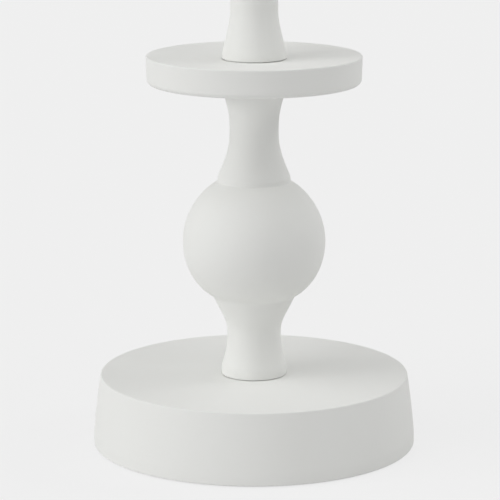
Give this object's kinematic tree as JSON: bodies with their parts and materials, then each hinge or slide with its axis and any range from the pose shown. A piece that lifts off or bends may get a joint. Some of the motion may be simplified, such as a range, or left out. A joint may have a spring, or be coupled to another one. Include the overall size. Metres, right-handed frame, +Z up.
{
  "type": "candlestick",
  "caption": "Tall turned candlestick: round dished base, waisted stems with a ball and a dished plate, and a lined cup for one taper candle.",
  "frame": {"origin": "middle of the base on the table, at the lowest face of the felt pad", "axes": "+Z up along the turning axis; the piece is round, so +X and +Y are free"},
  "size_m": [0.11, 0.11, 0.2044],
  "materials": {
    "painted_wood": "off-white paint, satin to matte, faint brush and grain relief",
    "felt": "pressed wool felt",
    "beech": "bare beech",
    "zinc_steel": "zinc plated",
    "liner_steel": "drawn steel, lightly brushed"
  },
  "bodies": {
    "root": {"felt_pad": "felt", "base": "painted_wood", "base_screw": "zinc_steel", "lower_stem": "painted_wood", "lower_dowel": "beech", "ball": "painted_wood", "upper_dowel": "beech", "middle_stem": "painted_wood", "joining_screw": "zinc_steel", "plate": "painted_wood", "upper_stem": "painted_wood", "cup_dowel": "beech", "candle_cup": "painted_wood", "candle_liner": "liner_steel"}
  },
  "joints": []
}
